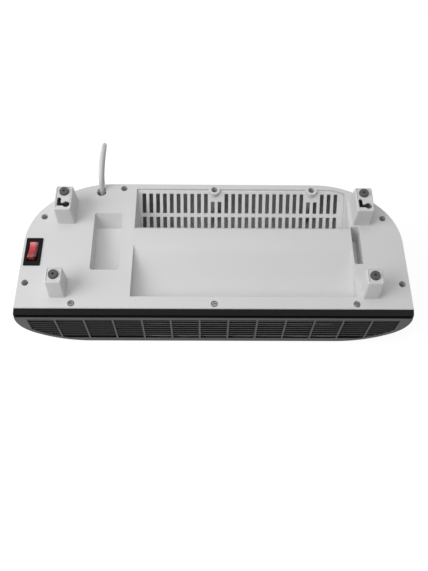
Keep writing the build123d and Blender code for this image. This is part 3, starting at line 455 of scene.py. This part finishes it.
# The groove is cut out of the band's face and pushed in.
shape = bmesh.new()
shape.from_mesh(front_shell.data)
for place, aim in (
    ((0, 0, GROOVE_LOW), (0, 0, 1)), ((0, 0, GROOVE_HIGH), (0, 0, 1)),
    ((-GROOVE_END, 0, 0), (1, 0, 0)), ((GROOVE_END, 0, 0), (1, 0, 0)),
):
    whole = shape.verts[:] + shape.edges[:] + shape.faces[:]
    bmesh.ops.bisect_plane(shape, geom=whole, dist=JOIN_WITHIN, plane_co=place, plane_no=aim)
groove = []
for face in shape.faces:
    middle = face.calc_center_median()
    on_band = face.normal.y < FACING_FRONT and middle.y < BAND_Y
    if on_band and GROOVE_LOW < middle.z < GROOVE_HIGH and abs(middle.x) < GROOVE_END:
        groove.append(face)
pushed = bmesh.ops.extrude_face_region(shape, geom=groove)["geom"]
bmesh.ops.delete(shape, geom=groove, context="FACES_ONLY")
for item in pushed:
    if isinstance(item, bmesh.types.BMVert):
        item.co.y += GROOVE_DEPTH
    if isinstance(item, bmesh.types.BMFace):
        item.material_index = DULL_SLOT
shade_by_angle(shape, SHARP_OVER)
shape.to_mesh(front_shell.data)
shape.free()

# Receiver window
# Window of smoked acrylic, nearly black with a red cast, for the remote control's
# signal. It is pressed into the front of the shell.
smoked = moulded("smoked_window", (0.020, 0.006, 0.008), 0.08, grain=0.0, coat=0.5)
rounded_copy("receiver_lens").data.materials.append(smoked)

# Outlet grille
# One gray satin moulding: a frame, upright ribs flush with it and fine cross bars
# set back from its face. The set-back bars are dimmed with painted shade, and their
# sides are painted near black as shade.
GRILLE_RADIUS = 0.00015
# The last of these is painted shade: the share of the gray left at the set-back bars.
FRAME_Y, BAR_Y, BAR_PAINTED_SHADE = -0.1033, -0.1029, 0.72
FRONT_SLOT, PAINTED_SHADE_SLOT = 0, 1
FACING_ASIDE, SIDES_BEHIND_Y = -0.9, -0.1024


def value_along(tree, axis, low, high, at_low=0.0, at_high=1.0):
    """A value that runs from at_low to at_high between two places on an axis."""
    split = tree.nodes.new("ShaderNodeSeparateXYZ")
    tree.links.new(tree.nodes["Texture Coordinate"].outputs["Object"], split.inputs[0])
    reach = node_in(tree, "ShaderNodeMapRange", {
        "From Min": low, "From Max": high, "To Min": at_low, "To Max": at_high,
    })
    tree.links.new(split.outputs[axis], reach.inputs["Value"])
    return reach.outputs["Result"]


grille_gray = moulded("grille_gray", (0.14, 0.14, 0.142), 0.45, grain=0.35, shade=0.06, ior=1.15)
gray_tree = grille_gray.node_tree
gray_colour = gray_tree.nodes["Principled BSDF"].inputs["Base Color"]
# Painted shade: the gray dims from the frame's face back to the set-back bars.
painted_bar_shade = gray_tree.nodes.new("ShaderNodeHueSaturation")
gray_tree.links.new(gray_colour.links[0].from_socket, painted_bar_shade.inputs["Color"])
gray_tree.links.new(value_along(gray_tree, "Y", FRAME_Y, BAR_Y, 1.0, BAR_PAINTED_SHADE), painted_bar_shade.inputs["Value"])
gray_tree.links.new(painted_bar_shade.outputs["Color"], gray_colour)
# Painted shade: a near-black copy of the gray for the bar sides, where shade falls.
bar_sides = moulded("grille_bar_sides_painted_shade", (0.012, 0.012, 0.012), 0.6, grain=0.35, ior=1.05)
grille = rounded_copy("outlet_grille", GRILLE_RADIUS)
grille.data.materials.append(grille_gray)
grille.data.materials.append(bar_sides)
# Faces turned aside and set back behind the frame get the painted shade.
for face in grille.data.polygons:
    aside = face.normal.y > FACING_ASIDE and face.center.y > SIDES_BEHIND_Y
    face.material_index = PAINTED_SHADE_SLOT if aside else FRONT_SLOT

# Rubber feet
# Four tapered feet of soft dark gray rubber with a hollow middle. Their stems are
# plugged into the trays on top of the posts.
FOOT_RADIUS = 0.00035
rubber = moulded(
    "foot_rubber", (0.092, 0.092, 0.092), 0.62, grain=0.6, grain_size=1100.0, shade=0.12, specular=0.35,
)
rounded_copy("rubber_feet", FOOT_RADIUS, 3).data.materials.append(rubber)

# Cover screws
# Ten zinc-plated steel screws with cross slots, sunk in wells of the back cover,
# which they hold to the front shell.
zinc = metal("zinc_plate", (0.19, 0.19, 0.18), 0.34, bright=0.5)
rounded_copy("cover_screws").data.materials.append(zinc)

# Switch
# Glossy black body that snaps into the back cover by its frame, with a rocker of
# clear red plastic. Its colour has painted highlights towards its ends and painted
# shade on its right side.
SWITCH_RADIUS, ROCKER_RADIUS = 0.0003, 0.0007
BEZEL_X, BEZEL_Y = (-0.2567, -0.2340), (-0.0412, 0.0023)
CORNER_R, CORNER_STEPS = 0.0014, 4
CORNER_REACH, UPRIGHT_OVER = 0.0020, 0.0005
ROCKER_Y, ROCKER_X = (-0.0330, -0.0060), (-0.2514, -0.2394)
MIDDLE_RED = (0.42, 0.010, 0.016)
# Reds along the rocker: its own red in the middle, painted highlights pale at the ends.
ROCKER_REDS_AND_PAINTED_HIGHLIGHTS = (
    (0.0, (0.50, 0.16, 0.16)), (0.16, (0.38, 0.010, 0.016)), (0.45, MIDDLE_RED),
    (0.75, (0.62, 0.05, 0.07)), (1.0, (0.66, 0.14, 0.17)),
)
# Painted shade across the rocker, darkest at its right side.
ROCKER_PAINTED_SHADE = (
    (0.0, (0.95, 0.95, 0.95)), (0.60, (1.0, 1.0, 1.0)), (0.82, (0.22, 0.15, 0.17)),
    (1.0, (0.10, 0.06, 0.07)),
)


def beside_corner(vertex):
    """Whether a vertex is at a corner of the switch's frame, seen from above."""
    off_x = min(abs(vertex.co.x - x) for x in BEZEL_X)
    off_y = min(abs(vertex.co.y - y) for y in BEZEL_Y)
    return off_x + off_y < CORNER_REACH


def colour_along(tree, axis, places, stops):
    """Colour that changes along an axis; stops run from 0 to 1 between the two places."""
    ramp = tree.nodes.new("ShaderNodeValToRGB")
    for position, _ in stops[1:-1]:
        ramp.color_ramp.elements.new(position)
    for element, (_, colour) in zip(ramp.color_ramp.elements, stops):
        element.color = (*colour, 1)
    tree.links.new(value_along(tree, axis, *places), ramp.inputs["Fac"])
    return ramp.outputs["Color"]


switch_black = moulded("switch_black", (0.010, 0.010, 0.010), 0.20, grain=0.1, ior=1.16)
switch = rounded_copy("switch_housing", SWITCH_RADIUS, 3)
switch.data.materials.append(switch_black)
shape = bmesh.new()
shape.from_mesh(switch.data)
corner_edges = []
for edge in shape.edges:
    rise = abs(edge.verts[0].co.z - edge.verts[1].co.z)
    if rise > UPRIGHT_OVER and all(beside_corner(v) for v in edge.verts):
        corner_edges.append(edge)
bmesh.ops.bevel(
    shape, geom=corner_edges, offset=CORNER_R, offset_type="OFFSET", segments=CORNER_STEPS,
    profile=0.5, affect="EDGES", material=-1,
)
shape.to_mesh(switch.data)
shape.free()

rocker_red = moulded("rocker_red", MIDDLE_RED, 0.14, grain=0.03, coat=0.05)
red_tree = rocker_red.node_tree
painted_light_mix = node_in(red_tree, "ShaderNodeMixRGB", {"Fac": 1.0})
painted_light_mix.blend_type = "MULTIPLY"
# Painted highlights: the red pales towards both ends of the rocker.
red_tree.links.new(colour_along(red_tree, "Y", ROCKER_Y, ROCKER_REDS_AND_PAINTED_HIGHLIGHTS), painted_light_mix.inputs["Color1"])
# Painted shade: the rocker darkens towards its right side.
red_tree.links.new(colour_along(red_tree, "X", ROCKER_X, ROCKER_PAINTED_SHADE), painted_light_mix.inputs["Color2"])
red_tree.links.new(painted_light_mix.outputs["Color"], red_tree.nodes["Principled BSDF"].inputs["Base Color"])
rounded_copy("switch_rocker", ROCKER_RADIUS, 3).data.materials.append(rocker_red)

# Cross-flow fan and its duct
# Moulded impeller on a ground steel end pin, which runs in a bronze bush and a
# rubber cushion, between the scroll of the duct and the front guide.
LINES_ALONG_X = (0.05, 1, 1)
steel = metal("ground_steel", (0.60, 0.60, 0.60), 0.18, LINES_ALONG_X)
repaint(moulded("duct_moulding", (0.20, 0.20, 0.20), 0.55), "fan_duct", "front_guide")
repaint(moulded("fan_moulding", (0.045, 0.045, 0.05), 0.4), "fan_impeller")
repaint(steel, "fan_end_pin")
repaint(metal("sintered_bronze", (0.60, 0.42, 0.22), 0.45), "end_bush")
repaint(rubber, "bearing_cushion")

# Motor
# Shaded-pole motor: blued steel laminations with a taped coil on one leg, a rotor on
# a ground steel shaft and two cast brackets, held together by long screws.
laminations = metal("blued_laminations", (0.26, 0.27, 0.31), 0.45, (8, 0.3, 0.3))
coil_tape = moulded("coil_tape", (0.50, 0.36, 0.06), 0.4, grain=0.5, grain_size=400.0)
repaint(steel, "motor_shaft")
repaint(laminations, "motor_stator", "motor_rotor")
repaint(coil_tape, "motor_coil")
repaint(metal("cast_zinc", (0.55, 0.56, 0.58), 0.5), "motor_brackets")
repaint(zinc, "motor_screws")

# Heater
# Flat aluminium tubes with folded fins between two brackets of heat-proof plastic,
# and a round steatite cutout that opens when it gets too hot.
# Painted shade: the aluminium is made far darker than bare metal, so the tubes read as shade behind the
# outlet grille.
aluminium = metal("rolled_aluminium_painted_shade", (0.34, 0.34, 0.35), 0.48, LINES_ALONG_X)
repaint(aluminium, "heater_tubes", "heater_fins")
repaint(moulded("heat_proof_black", (0.05, 0.05, 0.05), 0.5), "heater_brackets")
repaint(moulded("steatite", (0.70, 0.66, 0.56), 0.35), "thermal_cutout")

# Boards, terminal block and cord clamp
# Green circuit boards with black components, and the white polyamide block and
# clamp of the mains lead, each held by zinc-plated screws.
solder_resist = moulded("solder_resist", (0.02, 0.14, 0.06), 0.3, shade=0.3)
repaint(solder_resist, "control_board", "receiver_board")
repaint(moulded("component_black", (0.03, 0.03, 0.035), 0.4), "board_parts")
repaint(moulded("polyamide", (0.62, 0.62, 0.58), 0.5), "terminal_block", "cord_clamp")
repaint(zinc, "board_screws", "clamp_screws")
